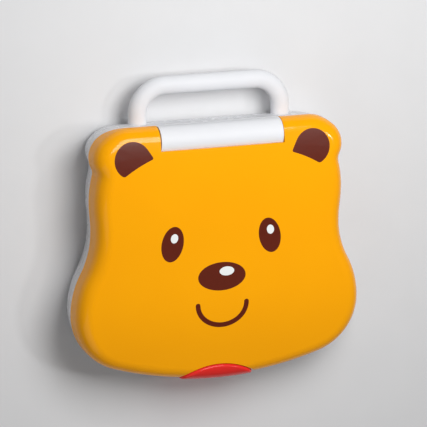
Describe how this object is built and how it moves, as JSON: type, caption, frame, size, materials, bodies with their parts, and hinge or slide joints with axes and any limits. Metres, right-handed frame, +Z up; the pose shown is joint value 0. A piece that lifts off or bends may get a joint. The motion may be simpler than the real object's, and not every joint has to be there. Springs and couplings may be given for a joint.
{
  "type": "toy laptop computer",
  "caption": "Toddler's toy laptop: hinged animal-head lid over a base with sprung keys, carrying handle, rocking front latch and sliding power switch.",
  "frame": {"origin": "on the surface it lies on, under the middle of its closed outline", "axes": "+Y from the front latch to the hinge and handle, +Z up through the closed lid, X across"},
  "size_m": [0.24, 0.248, 0.0569],
  "materials": {
    "orange_abs": "polished moulded ABS",
    "white_abs": "satin moulded ABS",
    "red_abs": "polished moulded ABS",
    "blue_abs": "polished moulded ABS",
    "green_abs": "polished moulded ABS",
    "foot_rubber": "matt moulded rubber",
    "dome_silicone": "matt silicone",
    "zinc_steel": "bright zinc plate",
    "battery_can": "plain sleeve",
    "circuit_board": "solder mask",
    "speaker_black": "matt",
    "clear_plastic": "clear polystyrene",
    "lamp_white": "clear epoxy lamp",
    "picture_card": "printed card"
  },
  "bodies": {
    "base": {"base_lower_shell": "white_abs", "base_deck": "white_abs", "carry_handle": "white_abs", "hinge_barrel": "white_abs", "hinge_screws": "zinc_steel", "rubber_feet": "foot_rubber", "battery_door": "white_abs", "battery_door_screw": "zinc_steel", "batteries": "battery_can", "battery_contacts": "zinc_steel", "main_circuit_board": "circuit_board", "board_screws": "zinc_steel", "base_screws": "zinc_steel", "speaker": "speaker_black", "light_lens": "clear_plastic", "light_lamp": "lamp_white", "power_switch": "speaker_black", "key_dome_1_1": "dome_silicone", "key_dome_1_2": "dome_silicone", "key_dome_1_3": "dome_silicone", "key_dome_1_4": "dome_silicone", "key_dome_2_1": "dome_silicone", "key_dome_2_2": "dome_silicone", "key_dome_2_3": "dome_silicone", "key_dome_2_4": "dome_silicone", "key_dome_3_1": "dome_silicone", "key_dome_3_2": "dome_silicone", "key_dome_3_3": "dome_silicone", "key_dome_3_4": "dome_silicone"},
    "lid": {"lid_shell": "orange_abs", "lid_inner_panel": "white_abs", "screen_lens": "clear_plastic", "picture_card": "picture_card", "lid_screws": "zinc_steel", "hinge_pin_left": "zinc_steel", "hinge_pin_right": "zinc_steel"},
    "latch": {"latch_lever": "red_abs", "latch_pin": "zinc_steel"},
    "power_slider": {"power_slider": "red_abs"},
    "key_1_1": {"key_1_1": "blue_abs"},
    "key_1_2": {"key_1_2": "blue_abs"},
    "key_1_3": {"key_1_3": "blue_abs"},
    "key_1_4": {"key_1_4": "blue_abs"},
    "key_2_1": {"key_2_1": "green_abs"},
    "key_2_2": {"key_2_2": "green_abs"},
    "key_2_3": {"key_2_3": "green_abs"},
    "key_2_4": {"key_2_4": "green_abs"},
    "key_3_1": {"key_3_1": "red_abs"},
    "key_3_2": {"key_3_2": "red_abs"},
    "key_3_3": {"key_3_3": "red_abs"},
    "key_3_4": {"key_3_4": "red_abs"}
  },
  "joints": [
    {"name": "lid_hinge", "type": "hinge", "parent": "base", "child": "lid", "pos_m": [0, 0.077, 0.0427], "axis": [-1, 0, 0], "range_deg": [0, 115]},
    {"name": "latch_rock", "type": "hinge", "parent": "base", "child": "latch", "pos_m": [0, -0.118, 0.0125], "axis": [1, 0, 0], "range_deg": [0, 10], "stiffness_Nm_per_rad": 0.8},
    {"name": "power_slide", "type": "slide", "parent": "base", "child": "power_slider", "axis": [1, 0, 0], "range_m": [0, 0.012]},
    {"name": "key_1_1_press", "type": "slide", "parent": "base", "child": "key_1_1", "axis": [0, 0, -1], "range_m": [0, 0.0022], "stiffness_N_per_m": 300, "deforming": ["key_dome_1_1"]},
    {"name": "key_1_2_press", "type": "slide", "parent": "base", "child": "key_1_2", "axis": [0, 0, -1], "range_m": [0, 0.0022], "stiffness_N_per_m": 300, "deforming": ["key_dome_1_2"]},
    {"name": "key_1_3_press", "type": "slide", "parent": "base", "child": "key_1_3", "axis": [0, 0, -1], "range_m": [0, 0.0022], "stiffness_N_per_m": 300, "deforming": ["key_dome_1_3"]},
    {"name": "key_1_4_press", "type": "slide", "parent": "base", "child": "key_1_4", "axis": [0, 0, -1], "range_m": [0, 0.0022], "stiffness_N_per_m": 300, "deforming": ["key_dome_1_4"]},
    {"name": "key_2_1_press", "type": "slide", "parent": "base", "child": "key_2_1", "axis": [0, 0, -1], "range_m": [0, 0.0022], "stiffness_N_per_m": 300, "deforming": ["key_dome_2_1"]},
    {"name": "key_2_2_press", "type": "slide", "parent": "base", "child": "key_2_2", "axis": [0, 0, -1], "range_m": [0, 0.0022], "stiffness_N_per_m": 300, "deforming": ["key_dome_2_2"]},
    {"name": "key_2_3_press", "type": "slide", "parent": "base", "child": "key_2_3", "axis": [0, 0, -1], "range_m": [0, 0.0022], "stiffness_N_per_m": 300, "deforming": ["key_dome_2_3"]},
    {"name": "key_2_4_press", "type": "slide", "parent": "base", "child": "key_2_4", "axis": [0, 0, -1], "range_m": [0, 0.0022], "stiffness_N_per_m": 300, "deforming": ["key_dome_2_4"]},
    {"name": "key_3_1_press", "type": "slide", "parent": "base", "child": "key_3_1", "axis": [0, 0, -1], "range_m": [0, 0.0022], "stiffness_N_per_m": 300, "deforming": ["key_dome_3_1"]},
    {"name": "key_3_2_press", "type": "slide", "parent": "base", "child": "key_3_2", "axis": [0, 0, -1], "range_m": [0, 0.0022], "stiffness_N_per_m": 300, "deforming": ["key_dome_3_2"]},
    {"name": "key_3_3_press", "type": "slide", "parent": "base", "child": "key_3_3", "axis": [0, 0, -1], "range_m": [0, 0.0022], "stiffness_N_per_m": 300, "deforming": ["key_dome_3_3"]},
    {"name": "key_3_4_press", "type": "slide", "parent": "base", "child": "key_3_4", "axis": [0, 0, -1], "range_m": [0, 0.0022], "stiffness_N_per_m": 300, "deforming": ["key_dome_3_4"]}
  ]
}
